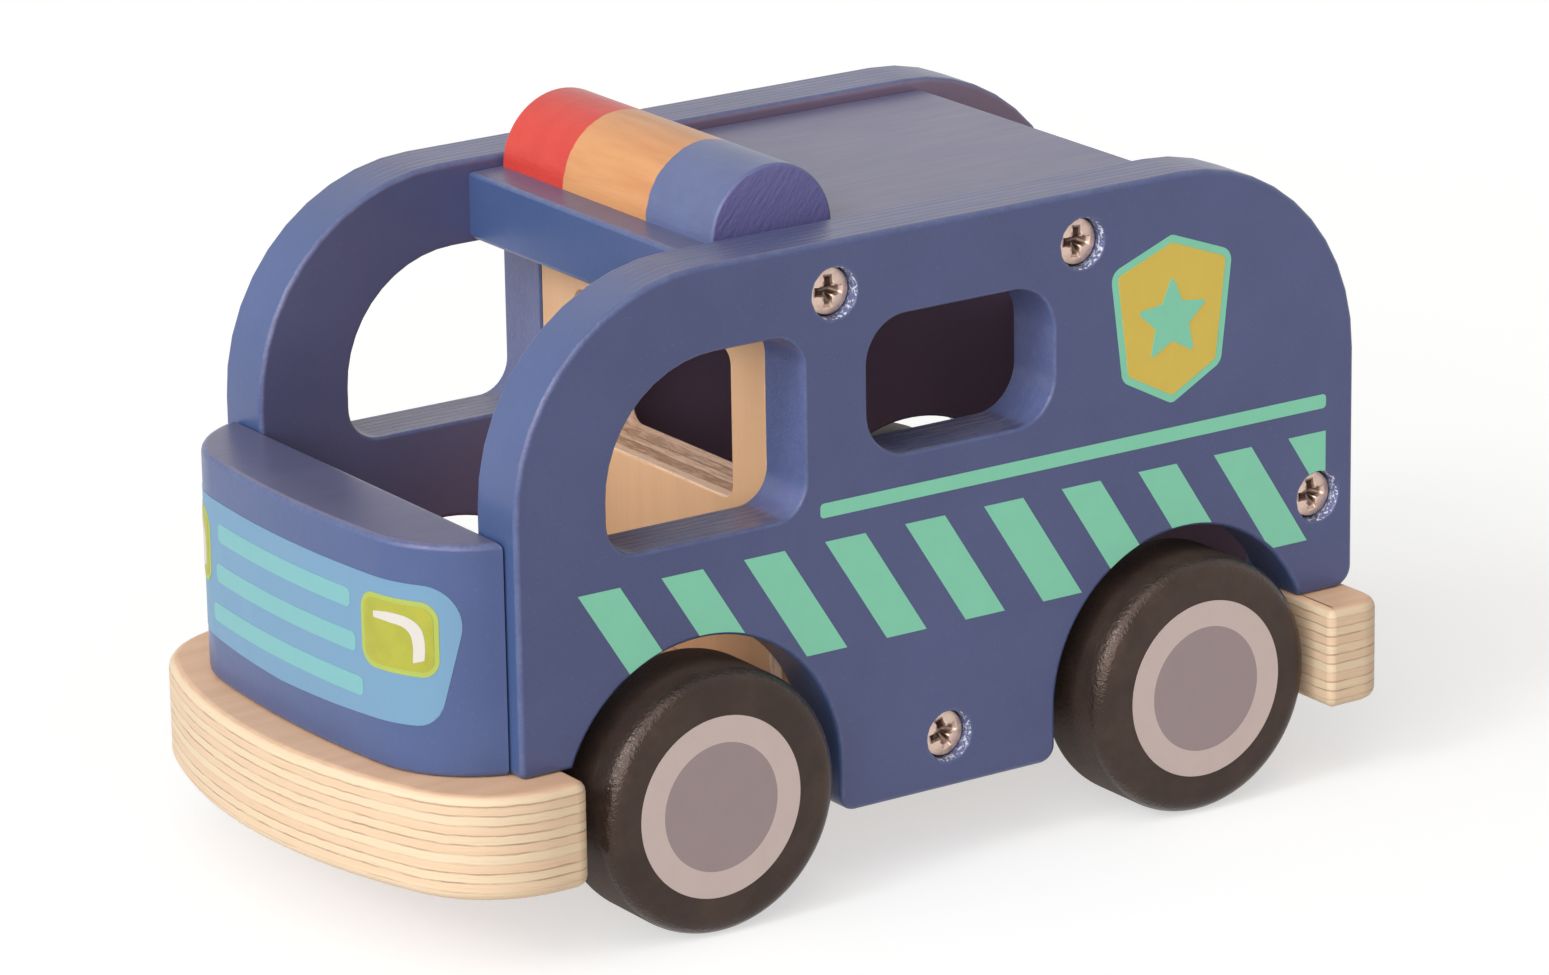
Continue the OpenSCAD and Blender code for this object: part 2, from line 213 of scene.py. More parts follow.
def middle_of(name):
    """The middle of a node, in length and height."""
    low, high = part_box(name)
    return (low.x + high.x) / 2, (low.z + high.z) / 2


class Tone:
    """An output of a shader node; +, - and * work it out further with Math nodes."""

    def __init__(self, made, output=0):
        self.made = made
        self.tree = made.id_data
        self.socket = made.outputs[output]

    def __add__(self, other):
        return maths("ADD", self, other)

    def __sub__(self, other):
        return maths("SUBTRACT", self, other)

    def __rsub__(self, other):
        return maths("SUBTRACT", other, self)

    def __mul__(self, other):
        return maths("MULTIPLY", self, other)


def feed(made, inputs):
    """Gives a shader node its inputs, each a plain value or a tone."""
    for name, value in inputs.items():
        if isinstance(value, Tone):
            made.id_data.links.new(value.socket, made.inputs[name])
        else:
            made.inputs[name].default_value = value


def node(tree, kind, inputs, **settings):
    """A new shader node with its inputs and settings."""
    made = tree.nodes.new("ShaderNode" + kind)
    for name, value in settings.items():
        setattr(made, name, value)
    feed(made, inputs)
    return made


def maths(operation, *values):
    """The result of a Math node on tones and plain numbers."""
    tree = next(value.tree for value in values if isinstance(value, Tone))
    return Tone(node(tree, "Math", dict(enumerate(values)), operation=operation))


def ramp(tone, low, high):
    """Turns a tone into a smooth share: 0 up to low and 1 from high on."""
    inputs = {"Value": tone, "From Min": low, "From Max": high}
    return Tone(node(tone.tree, "MapRange", inputs, interpolation_type="SMOOTHSTEP"))


def mixed(share, first, second):
    """The first colour where share is 0 and the second where it is 1."""
    return Tone(node(share.tree, "Mix", {0: share, 6: first, 7: second}, data_type="RGBA"), 2)


def chance(number):
    """A chance value from 0 to 1 for each whole number."""
    return Tone(node(number.tree, "TexWhiteNoise", {"W": number}, noise_dimensions="1D"))


def parts(tone):
    """The three parts of a place or a direction: along the bus, across it and upwards."""
    split = node(tone.tree, "SeparateXYZ", {0: tone})
    return [Tone(split, axis) for axis in range(3)]


def facing(place):
    """How far each point of a surface faces along the bus, across it and upwards."""
    return parts(Tone(place.made, "Normal"))


def grain(place, scale, detail=3.0, rough=0.55):
    """Noise in features per metre; scale is one number, or one for each axis."""
    stretch = (scale, scale, scale) if isinstance(scale, int) else scale
    scaled = Tone(node(place.tree, "VectorMath", {0: place, 1: stretch}, operation="MULTIPLY"))
    inputs = {"Vector": scaled, "Scale": 1.0, "Detail": detail, "Roughness": rough}
    return Tone(node(place.tree, "TexNoise", inputs))


def layered(axis, flat, through):
    """The scales of a grain that lies in a board's plies; axis is the board's thickness."""
    return [through if i == axis else flat for i in range(3)]


def finish(name):
    """A new finish: its material and the place of each point on its surface."""
    material = bpy.data.materials.new(name)
    material.use_nodes = True
    return material, Tone(node(material.node_tree, "TexCoord", {}), "Object")


def coat(material, colour, roughness, height, depth, constants=None):
    """The finished material; constants are the shader's inputs that are the same all over."""
    tree = material.node_tree
    relief = Tone(node(tree, "Bump", {"Strength": 1.0, "Distance": depth, "Height": height}))
    inputs = {"Base Color": colour, "Roughness": roughness, "Normal": relief}
    feed(tree.nodes["Principled BSDF"], {**inputs, **(constants or {})})
    return material


def plywood(name, axis, low, high, plies, face_colours, edge_colours, torn_share):
    """Bare birch plywood: plies on its edges, veneer grain on its faces; axis is its thickness.

    The share of torn fibres is small on sanded edges and large on sawn ones.
    """
    pale, dark = face_colours
    along_ply, cross_ply = edge_colours
    glue_brown = (0.36, 0.225, 0.135, 1)
    ply = (high - low) / plies
    material, place = finish(name)
    sway = grain(place, 28) - 0.5
    ragged = grain(place, 380) - 0.5
    waver = sway * (0.5 * ply) + ragged * (0.26 * ply)
    level = maths("DIVIDE", parts(place)[axis] - low + waver, ply)
    number = maths("FLOOR", level)
    within = level - number
    crossed = maths("MODULO", number, 2.0)
    fibre = grain(place, layered(axis, 60, 1500))
    pores = grain(place, layered(axis, 240, 5200), detail=2.0)
    torn = (grain(place, layered(axis, 330, 2400), detail=4.0, rough=0.7) - 0.5) * torn_share
    shade = crossed * 0.5 + chance(number) * 0.3 + (fibre - 0.48) * 0.9
    edge = mixed(ramp(shade + torn, 0.0, 1.0), along_ply, cross_ply)
    seam = 1.0 - ramp(maths("MINIMUM", within, 1.0 - within), 0.03, 0.14)
    broken = ramp(grain(place, (150, 150, 400), detail=4.0), 0.35, 0.65)
    seam = seam * (broken * 0.55 + 0.25) * (chance(maths("ROUND", level)) * 0.75 + 0.5)
    edge = mixed(seam, edge, glue_brown)
    edge = mixed(ramp(pores, 0.6, 0.76) * 0.2, edge, glue_brown)
    figure = grain(place, (14, 300, 300) if axis == 2 else (300, 300, 14), detail=4.0)
    streak = grain(place, (40, 1700, 1700) if axis == 2 else (1700, 1700, 40))
    face = mixed(ramp(figure, 0.25, 0.8), pale, dark)
    face = mixed(ramp(streak, 0.55, 0.8) * 0.25, face, dark)
    is_face = ramp(maths("ABSOLUTE", facing(place)[axis]), 0.72, 0.93)
    height = fibre + pores - seam * 0.8 - torn * 0.6
    return coat(material, mixed(is_face, edge, face), fibre * 0.2 + 0.46, height, 0.05 * mm)


base_low, base_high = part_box("base_board")
bumper_back_x = 53.9 * mm
bumper_half_width = 44.45 * mm
bumper_bow_radius = 95 * mm
bumper_corner_radius = 17 * mm
bumper_edge_radius = 2.4 * mm
rear_bumper_x = -70.7 * mm
rear_edge_radius = 1.2 * mm
rear_corner_radius = 4.6 * mm
waist_half_width = 28.75 * mm
base_rounding = 1.5 * mm
base_plies = 11
base_torn_share = 0.3
bumper_face_colours = ((0.76, 0.485, 0.315, 1), (0.66, 0.405, 0.255, 1))
bumper_edge_colours = ((0.70, 0.55, 0.38, 1), (0.67, 0.47, 0.315, 1))
rear_half_width = base_high.y
bumper = bow_front(bumper_back_x, base_high.x, bumper_half_width, bumper_bow_radius, bumper_corner_radius)
left_side = [
    (bumper_back_x, bumper_half_width, bumper_edge_radius),
    (bumper_back_x, waist_half_width, 0),
    (rear_bumper_x, waist_half_width, 0),
    (rear_bumper_x, rear_half_width, rear_edge_radius),
    (base_low.x, rear_half_width, rear_corner_radius),
]
right_side = [(x, -y, radius) for x, y, radius in reversed(left_side)]
base_loop = rounded([(x, y, 0) for x, y in bumper] + left_side + right_side)
base = board("plywood_base", [edge_wall(base_loop, base_low.z, base_high.z, base_rounding)])
axle_bore_radius = 2.56 * mm
bores = []
for axle in ("front_axle", "rear_axle"):
    low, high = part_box(axle)
    mid_x, mid_z = middle_of(axle)
    bore = band(low.y, high.y, axle_bore_radius)
    bores.append(turned("bore", bore, lambda u, v, t: (mid_x + u, t, mid_z + v), steps=32))
cut_away(base, *bores)
base_plywood = plywood("birch_plywood_base", 2, base_low.z, base_high.z, base_plies,
                       bumper_face_colours, bumper_edge_colours, base_torn_share)
base.data.materials.append(base_plywood)
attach(base, "bus")
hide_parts("base_board")

# Axles: two plain steel rods, cut to length and zinc plated. They turn in the base board's bores
# and are pressed into the wheels, so only the wheels show.


def zinc_steel(name):
    """Zinc-plated steel with fine brushing and dull patches."""
    bright = (0.66, 0.59, 0.53, 1)
    dull = (0.47, 0.41, 0.36, 1)
    material, place = finish(name)
    brushing = grain(place, (2600, 350, 2600))
    patches = grain(place, 420, detail=4.0)
    colour = mixed(ramp(patches, 0.4, 0.72), bright, dull)
    return coat(material, colour, brushing * 0.22 + 0.24, brushing, 0.02 * mm, {"Metallic": 1.0})


axle_steel = zinc_steel("zinc_plated_axle")
for axle in ("front_axle", "rear_axle"):
    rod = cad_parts[axle]
    rod.data.materials.clear()
    rod.data.materials.append(axle_steel)

# Wheels: turned from beech with well rounded rims and dipped in black paint, which lies grainy on
# the rims. A pale grey ring and a darker grey disc are printed on each outer face, on the front
# wheels a little off the middle.
hands = (("left", 1), ("right", -1))
wheel_outer_rounding = 3 * mm
wheel_inner_rounding = 2.2 * mm
wheel_bore_radius = 2.5 * mm
wheel_bore_depth = 9 * mm
wheel_steps = 128
hub_ring_radius = 13.05 * mm
hub_disc_radius = 9.25 * mm
hub_print_shift = {"front": 0.8 * mm, "rear": 0.0}
film = 0.05 * mm


def wheel_paint(name):
    """Black paint on turned wood: grainy and dull on the tread, shiny on the roundings, rubbed, with painted
    sparkle.
    """
    black = (0.022, 0.0135, 0.0105, 1)
    brown_black = (0.043, 0.027, 0.021, 1)
    rub_and_highlight = (0.17, 0.125, 0.10, 1)
    material, place = finish(name)
    turn = maths("ABSOLUTE", facing(place)[1])
    on_rim = 1.0 - ramp(turn, 0.75, 0.97)
    off_tread = ramp(turn, 0.0, 0.45)
    rings = grain(place, (30, 1400, 30), detail=4.0)
    blotch = grain(place, 120, detail=5.0, rough=0.65)
    speck = grain(place, 1900, detail=2.0)
    scratch = grain(place, (90, 1500, 700))
    rub_and_sparkle = ramp(scratch, 0.64, 0.8) * ramp(blotch, 0.48, 0.7)
    colour = mixed(ramp(blotch, 0.35, 0.7), black, brown_black)
    # rub marks, which also paint the sparkle on the rims
    colour = mixed(rub_and_sparkle * 0.4, colour, rub_and_highlight)
    height = rings * 0.4 + speck * (on_rim * 1.1 + 0.3)
    roughness = blotch * 0.18 + 0.55 - off_tread * 0.25 - on_rim * off_tread * 0.22
    gloss = {"Specular IOR Level": 0.45, "Specular Tint": (1.0, 0.78, 0.70, 1)}
    return coat(material, colour, roughness, height, 0.1 * mm, gloss)


def ink(name, colour, shade):
    """Screen-printed ink: a thin even film with a faint mottle and the wood's grain under it."""
    material, place = finish(name)
    mottle = grain(place, 260, detail=4.0)
    speck = grain(place, 3200, detail=1.0)
    tone = mixed(ramp(mottle, 0.3, 0.75) * 0.5, colour, shade)
    tone = mixed(ramp(speck, 0.62, 0.75) * 0.25, tone, shade)
    return coat(material, tone, mottle * 0.15 + 0.4, mottle + speck, 0.02 * mm)


black_wheel_paint = wheel_paint("black_wheel_paint")
hub_ring_ink = ink("hub_ring_ink", (0.555, 0.45, 0.425, 1), (0.525, 0.42, 0.395, 1))
hub_disc_ink = ink("hub_disc_ink", (0.305, 0.235, 0.24, 1), (0.285, 0.22, 0.222, 1))
for end in ("front", "rear"):
    for hand, way in hands:
        low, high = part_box(f"{end}_{hand}_wheel")
        mid_x, mid_z = middle_of(f"{end}_{hand}_wheel")
        radius = (high.z - low.z) / 2
        width = high.y - low.y
        inner_y = low.y if way == 1 else high.y

        def at_axle(u, v, t):
            return (mid_x + u, inner_y + way * t, mid_z + v)

        def at_print(u, v, t):
            return at_axle(u + hub_print_shift[end], v, t)

        inner_centre = (wheel_inner_rounding, radius - wheel_inner_rounding)
        outer_centre = (width - wheel_outer_rounding, radius - wheel_outer_rounding)
        profile = [(wheel_bore_depth, 0), (wheel_bore_depth, wheel_bore_radius), (0, wheel_bore_radius)]
        profile += arc(inner_centre, wheel_inner_rounding, 180, 90, step=10.0)
        profile += arc(outer_centre, wheel_outer_rounding, 90, 0, step=10.0) + [(width, 0)]
        wheel = turned(f"{end}_{hand}_wheel_turned", profile, at_axle, wheel_steps)
        wheel.data.materials.append(black_wheel_paint)
        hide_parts(f"{end}_{hand}_wheel")
        ring_profile = band(width - film, width + film, hub_ring_radius, hub_disc_radius)
        ring = turned(f"{end}_{hand}_hub_ring", ring_profile + ring_profile[:1], at_print, wheel_steps)
        ring.data.materials.append(hub_ring_ink)
        disc_profile = band(width - film, width + film, hub_disc_radius)
        disc = turned(f"{end}_{hand}_hub_disc", disc_profile, at_print, wheel_steps)
        disc.data.materials.append(hub_disc_ink)
        for piece in (wheel, ring, disc):
            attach(piece, f"{end}_wheels")

# Side panels: two boards of 10 mm plywood, routed to shape with wheel arches and two windows each,
# sanded, sprayed navy and counterbored for the screws. The paint is thin, so the plies telegraph
# through it on the edges. It is rubbed pale along the corners, which also paints highlights there,
# and painted light brightens the cut edges and window walls and lifts the shaded inside.


def navy_paint(name, axis, low, high, plies, streaks, inner):
    """Satin navy paint over plywood; axis is the board's thickness, inner the way its inside faces.

    Ply streaks show on the edges. A brownish painted light lifts the shaded inside, most in the load bay.
    """
    navy = (0.047, 0.071, 0.176, 1)
    navy_light = (0.058, 0.086, 0.206, 1)
    rub_and_highlight_blue = (0.15, 0.21, 0.36, 1)
    painted_jamb_light_blue = (0.20, 0.21, 0.46, 1)
    painted_edge_light_blue = (0.03, 0.20, 0.48, 1)
    dust_and_top_light = (0.34, 0.24, 0.22, 1)
    glue_dark = (0.05, 0.035, 0.045, 1)
    inside_painted_light = (0.235, 0.148, 0.19, 1)
    chip_and_glint_pale = (0.62, 0.68, 0.78, 1)
    dust_and_top_light_share = 0.18 if axis == 2 else 0.06
    ply = (high - low) / plies
    material, place = finish(name)
    faces = facing(place)
    places = parts(place)
    cloud = grain(place, 38, detail=4.0)
    speck = grain(place, 2600, detail=1.0)
    fibre = grain(place, (70, 700, 900) if axis == 1 else (70, 700, 700), detail=4.0)
    lines = grain(place, layered(axis, 95, 1150), detail=5.0, rough=0.68)
    waver = (grain(place, 60) - 0.5) * (0.4 * ply)
    level = maths("DIVIDE", places[axis] - low + waver, ply)
    within = level - maths("FLOOR", level)
    seam = 1.0 - ramp(maths("MINIMUM", within, 1.0 - within), 0.03, 0.2)
    is_edge = 1.0 - ramp(maths("ABSOLUTE", faces[axis]), 0.25, 0.6)
    upward = ramp(faces[2], 0.93, 1.0) * 0.95 + 0.05
    upright = is_edge * (1.0 - upward)
    shows = is_edge * upward * streaks
    wear_and_light = Tone(node(place.tree, "Attribute", {}, attribute_name="wear_and_light"), "Fac")
    rub_and_highlight = maths("MINIMUM", wear_and_light, 1.0)
    chipped = ramp(grain(place, 480, detail=5.0, rough=0.7), 0.4, 0.66)
    is_inside = ramp(faces[axis] * inner, 0.6, 0.95)
    in_bay = 1.0 - ramp(places[0], 0.0, 14 * mm)
    bare = shows * (rub_and_highlight * 0.36 + 0.14)
    up_faces_dust_and_light = ramp(faces[2], 0.7, 1.0) * (cloud + 0.5)
    crumbs = ramp(grain(place, 1900, detail=2.0), 0.5, 0.6)
    colour = mixed(ramp(cloud, 0.3, 0.72), navy, navy_light)
    for share, tint in (
        # painted light: the shaded inside faces are lifted to a brownish tone, most in the load bay
        (is_inside * (in_bay * 0.5 + 0.14), inside_painted_light),
        (ramp(speck, 0.62, 0.78) * 0.16, rub_and_highlight_blue),
        # painted light: the upright cut edges are tinted a lighter blue
        (upright * 0.09, painted_edge_light_blue),
        # rubbed pale on the corners, which also paints a highlight along their roundings
        (rub_and_highlight * (chipped * 0.22 + 0.13) * (1.0 - upward * 0.4), rub_and_highlight_blue),
        # painted light: the window walls are tinted a paler blue
        (ramp(wear_and_light, 0.85, 1.0) * upright * 0.31, painted_jamb_light_blue),
        (ramp(lines, 0.45, 0.7) * bare, dust_and_top_light),
        (seam * bare, glue_dark),
        # dust on the up faces, which also paints the light that falls on them from above
        (up_faces_dust_and_light * dust_and_top_light_share, dust_and_top_light),
        # pale chips in the screw seats, which also paint glints on their walls
        (ramp(wear_and_light, 1.1, 1.9) * crumbs, chip_and_glint_pale),
    ):
        colour = mixed(share, colour, tint)
    height = (lines - seam * 0.6) * (shows * 0.8)
    height = height + fibre * 0.3 + speck * 0.15 + crumbs * (wear_and_light * 0.3)
    gloss = {"Specular IOR Level": 0.6, "Specular Tint": (1.0, 0.74, 0.78, 1)}
    return coat(material, colour, fibre * 0.14 + 0.26, height, 0.07 * mm, gloss)


panel_corner_radius = 31 * mm
panel_heel_radius = 3 * mm
panel_toe_radius = 1 * mm
panel_rounding = 0.8 * mm
window_rounding = 0.5 * mm
window_wear_and_light = 1.0
panel_plies = 7
panel_streaks = 1.0
arch_radius = 22.7 * mm
skirt_corner_radius = 2.5 * mm
cab_window = (14.5 * mm, 55.8 * mm, 46.85 * mm, 81.9 * mm)
cab_window_bow_radius = 18 * mm
cab_window_radius = 5 * mm
rear_window = (-27.7 * mm, 61.8 * mm, 4.1 * mm, 81.9 * mm)
rear_window_radius = 6.7 * mm
seat_radius = 3.6 * mm
seat_depth = 3.6 * mm
seat_hole_radius = 1.75 * mm
seat_chip = 0.9 * mm
panel_low, panel_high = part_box("left_side_panel")
deck_z = base_high.z
wheel_centres = [middle_of(f"{end}_left_wheel") for end in ("front", "rear")]
screw_names = ("roof_front", "roof_rear", "tail", "base")
screw_places = [middle_of(f"left_{name}_screw") for name in screw_names]


def panel_loop():
    """A side panel's outline in length and height, from its front foot round by the roof."""
    (front_x, wheel_z), (rear_x, _) = wheel_centres
    lift = degrees(asin((deck_z - wheel_z) / arch_radius))
    corners = [
        (panel_high.x, deck_z, panel_toe_radius),
        (panel_high.x, panel_high.z, panel_corner_radius),
        (panel_low.x, panel_high.z, panel_corner_radius),
        (panel_low.x, deck_z, panel_heel_radius),
    ]
    rear_arch = arc((rear_x, wheel_z), arch_radius, 180 - lift, 0)
    front_arch = arc((front_x, wheel_z), arch_radius, 180, lift)
    skirt = [
        (rear_x + arch_radius, panel_low.z, skirt_corner_radius),
        (front_x - arch_radius, panel_low.z, skirt_corner_radius),
    ]
    return rounded(corners + [(x, z, 0) for x, z in rear_arch] + skirt + [(x, z, 0) for x, z in front_arch])


def window_loop(box, radii):
    """A window's outline, run clockwise so that the wood is on its left."""
    x0, z0, x1, z1 = box
    corners = [(x0, z0), (x0, z1), (x1, z1), (x1, z0)]
    return rounded([(x, z, radius) for (x, z), radius in zip(corners, radii)])


def screw_seat(x, z, low, high):
    """Rings of a counterbored screw hole, its lip chipped by the cutter and softened by the paint."""
    seat = high - seat_depth
    rings = []
    # the last number of each ring is its wear, which the navy paint shows as pale chips and painted glints
    for thickness, radius, rough, wear in (
        (low, seat_hole_radius, 0, 0),
        (seat, seat_hole_radius, 0, 0),
        (seat, seat_radius, 0, 1.0),
        (high - 1.6 * mm, seat_radius, 0.04, 1.5),
        (high - 0.7 * mm, seat_radius, 0.06, 1.9),
        (high - 0.2 * mm, seat_radius + 0.06 * mm, 0.12, 2.2),
        (high, seat_radius + 0.24 * mm, 0.16, 0.9),
        (high, seat_radius + 0.6 * mm, 0.1, 0),
    ):
        ring = []
        for u, v in reversed(arc((0, 0), radius, 0, 360, 5.0)[1:]):
            chip = noise.noise(Vector((u, v, x + z)) / seat_chip) * rough * mm
            ring.append((x + u * (1 + chip / radius), z + v * (1 + chip / radius)))
        rings.append((thickness, ring, wear))
    return rings


cab_window_radii = [cab_window_radius, cab_window_radius, cab_window_bow_radius, cab_window_radius]
window_loops = [window_loop(cab_window, cab_window_radii), window_loop(rear_window, [rear_window_radius] * 4)]
for hand, way in hands:
    low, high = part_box(f"{hand}_side_panel")
    near, far = sorted((abs(low.y), abs(high.y)))
    walls = [edge_wall(panel_loop(), near, far, panel_rounding)]
    walls += [edge_wall(loop, near, far, window_rounding, window_wear_and_light) for loop in window_loops]
    walls += [screw_seat(x, z, near, far) for x, z in screw_places]
    panel = board(f"{hand}_panel_board", walls, lambda u, v, t: (u, way * t, v))
    paint = navy_paint(f"navy_paint_{hand}_panel", 1, low.y, high.y, panel_plies, panel_streaks, -way)
    panel.data.materials.append(paint)
    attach(panel, "bus")
    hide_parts(f"{hand}_side_panel")

# Print on the side panels: slanted teal stripes along the bottom, a thin line over them and a gold
# shield with a star, all screen-printed on the paint. The wheel arches and the screw hole in the
# tail cut the stripes off.
stripe_top_z = 51.6 * mm
stripe_bottom_z = 35.65 * mm
stripe_front_x = 51.85 * mm
stripe_pitch = 13.45 * mm
stripe_width = 6.75 * mm
stripe_lean = 10.15 * mm
stripe_count = 10
print_rear_x = -76.0 * mm
line_front_x = 12.2 * mm
line_z = (55.05 * mm, 57.15 * mm)
line_rounding = 0.6 * mm
arch_print_gap = 0.5 * mm
seat_print_gap = 0.25 * mm
badge_x = -48.2 * mm
badge_z = 73.2 * mm
badge_shoulder = (10.7 * mm, 8.3 * mm)
badge_hip = (8.7 * mm, -7.9 * mm)
badge_apex = (0, 12.3 * mm)
badge_foot = (0, -12.5 * mm)
badge_point_radius = 1.3 * mm
badge_shoulder_radius = 2.2 * mm
badge_hip_radius = 2.0 * mm
badge_least_radius = 0.3 * mm
badge_border = 1.1 * mm
star_drop = 0.15 * mm
star_outer_radius = 6.5 * mm
star_inner_radius = 3.1 * mm
star_softness = 0.35 * mm


def rectangle(u0, v0, u1, v1, radius=0):
    """The corners of a rectangle, each with one radius."""
    return [(u0, v0, radius), (u1, v0, radius), (u1, v1, radius), (u0, v1, radius)]


def cut_round(loop, centre, radius):
    """The outline with the part of it that lies inside a circle cut away."""
    def outside(point):
        return dist(point, centre) >= radius

    halvings = 40
    first = next(i for i, point in enumerate(loop) if outside(point))
    turned_loop = loop[first:] + loop[:first]
    kept = []
    entry = None
    for here, there in zip(turned_loop, turned_loop[1:] + turned_loop[:1]):
        if outside(here):
            kept.append(here)
        if outside(here) == outside(there):
            continue
        low, high = 0.0, 1.0
        for _ in range(halvings):
            middle = (low + high) / 2
            point = (here[0] + (there[0] - here[0]) * middle, here[1] + (there[1] - here[1]) * middle)
            if outside(point) == outside(here):
                low = middle
            else:
                high = middle
        angle = degrees(atan2(point[1] - centre[1], point[0] - centre[0]))
        if outside(here):
            entry = angle
        else:
            sweep = (angle - entry + 180) % 360 - 180
            kept += arc(centre, radius, entry, entry + sweep, step=2.0)
    return kept


def panel_film(name, hand, way, loop, layer, film_ink):
    """A thin film of ink on a side panel's outer face, on top of the layers below it."""
    face = panel_high.y
    rings = [(face - film, loop, 0), (face + layer * film, loop, 0)]
    piece = board(f"{hand}_{name}", [rings], lambda u, v, t: (u, way * t, v))
    piece.data.materials.append(film_ink)
    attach(piece, "bus")


def stripe_loop(number):
    """One slanted stripe, cut off at the print's rear end, at the wheel arches and at the screw hole."""
    front = stripe_front_x - number * stripe_pitch
    back = front - stripe_width
    loop = [(front, stripe_top_z), (back, stripe_top_z), (back - stripe_lean, stripe_bottom_z),
            (front - stripe_lean, stripe_bottom_z)]
    if back - stripe_lean < print_rear_x:
        reach = (front - print_rear_x) / stripe_lean
        foot = stripe_top_z - reach * (stripe_top_z - stripe_bottom_z)
        loop = [(front, stripe_top_z), (print_rear_x, stripe_top_z), (print_rear_x, foot)]
    for centre in wheel_centres:
        loop = cut_round(loop, centre, arch_radius + arch_print_gap)
    for place in screw_places:
        loop = cut_round(loop, place, seat_radius + seat_print_gap)
    return loop


def shield_loop(shrink):
    """The badge's outline with rounded corners, moved in by shrink."""
    corners = [badge_apex, (-badge_shoulder[0], badge_shoulder[1]), (-badge_hip[0], badge_hip[1]),
               badge_foot, badge_hip, badge_shoulder]
    radii = [badge_point_radius, badge_shoulder_radius, badge_hip_radius,
             badge_point_radius, badge_hip_radius, badge_shoulder_radius]
    moved = inset([(badge_x + x, badge_z + z) for x, z in corners], shrink)
    return rounded([(x, z, max(badge_least_radius, radius - shrink)) for (x, z), radius in zip(moved, radii)])


def star_loop():
    """A five-pointed star with slightly softened points."""
    corners = []
    for i in range(10):
        angle = radians(90 + 36 * i)
        reach = star_inner_radius if i % 2 else star_outer_radius
        soft = 0 if i % 2 else star_softness
        across = reach * cos(angle)
        corners.append((badge_x + across, badge_z - star_drop + reach * sin(angle), soft))
    return rounded(corners)


teal_ink = ink("teal_ink", (0.21, 0.59, 0.41, 1), (0.197, 0.56, 0.385, 1))
gold_ink = ink("gold_ink", (0.65, 0.475, 0.075, 1), (0.61, 0.44, 0.066, 1))
line_corners = rectangle(print_rear_x, line_z[0], line_front_x, line_z[1], line_rounding)
for hand, way in hands:
    for number in range(stripe_count):
        panel_film(f"stripe_{number + 1}", hand, way, stripe_loop(number), 1, teal_ink)
    panel_film("thin_line", hand, way, rounded(line_corners), 1, teal_ink)
    panel_film("badge_border", hand, way, shield_loop(0), 1, teal_ink)
    panel_film("badge_field", hand, way, shield_loop(badge_border), 2, gold_ink)
    panel_film("badge_star", hand, way, star_loop(), 3, teal_ink)

# Cab partition: bare plywood let in between the side panels behind the window pillars, with a
# sawn window. It stands on the base board on two dowels and is not painted.
partition_window = (-20 * mm, 53.6 * mm, 20 * mm, 75.2 * mm)
partition_window_radius = 2.2 * mm
partition_rounding = 0.4 * mm
partition_plies = 5
partition_torn_share = 2.6
partition_face_colours = ((0.85, 0.505, 0.285, 1), (0.79, 0.465, 0.255, 1))
partition_edge_colours = ((0.96, 0.66, 0.47, 1), (0.50, 0.265, 0.16, 1))
low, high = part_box("cab_partition")
partition_loop = rounded(rectangle(low.y, low.z, high.y, high.z))
opening = window_loop(partition_window, [partition_window_radius] * 4)
partition_walls = [edge_wall(loop, low.x, high.x, partition_rounding) for loop in (partition_loop, opening)]
partition = board("plywood_partition", partition_walls, lambda u, v, t: (t, u, v))
partition_plywood = plywood("birch_plywood_partition", 0, low.x, high.x, partition_plies,
                            partition_face_colours, partition_edge_colours, partition_torn_share)
partition.data.materials.append(partition_plywood)
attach(partition, "bus")
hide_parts("cab_partition")

# Tailboard: a low painted board across the rear, screwed in from both side panels, with the load
# bay open above it.
tailboard_rounding = 0.8 * mm
low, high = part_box("tailboard")
tail_loop = rounded(rectangle(low.y, low.z, high.y, high.z))
tail_wall = edge_wall(tail_loop, low.x, high.x, tailboard_rounding)
tail = board("painted_tailboard", [tail_wall], lambda u, v, t: (t, u, v))
tail_paint = navy_paint("navy_paint_tailboard", 0, low.x, high.x, panel_plies, panel_streaks, 1)
tail.data.materials.append(tail_paint)
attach(tail, "bus")
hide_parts("tailboard")

# Roof: a painted board let in just below the tops of the side panels and held by two screws from
# each side. Its grain runs along the bus and shows through the paint.
roof_rounding = 0.8 * mm
roof_streaks = 0.6
low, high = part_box("roof_board")
roof_loop = rounded(rectangle(low.x, low.y, high.x, high.y))
roof = board("painted_roof", [edge_wall(roof_loop, low.z, high.z, roof_rounding)])
roof.data.materials.append(navy_paint("navy_paint_roof", 2, low.z, high.z, panel_plies, roof_streaks, -1))
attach(roof, "bus")
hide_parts("roof_board")

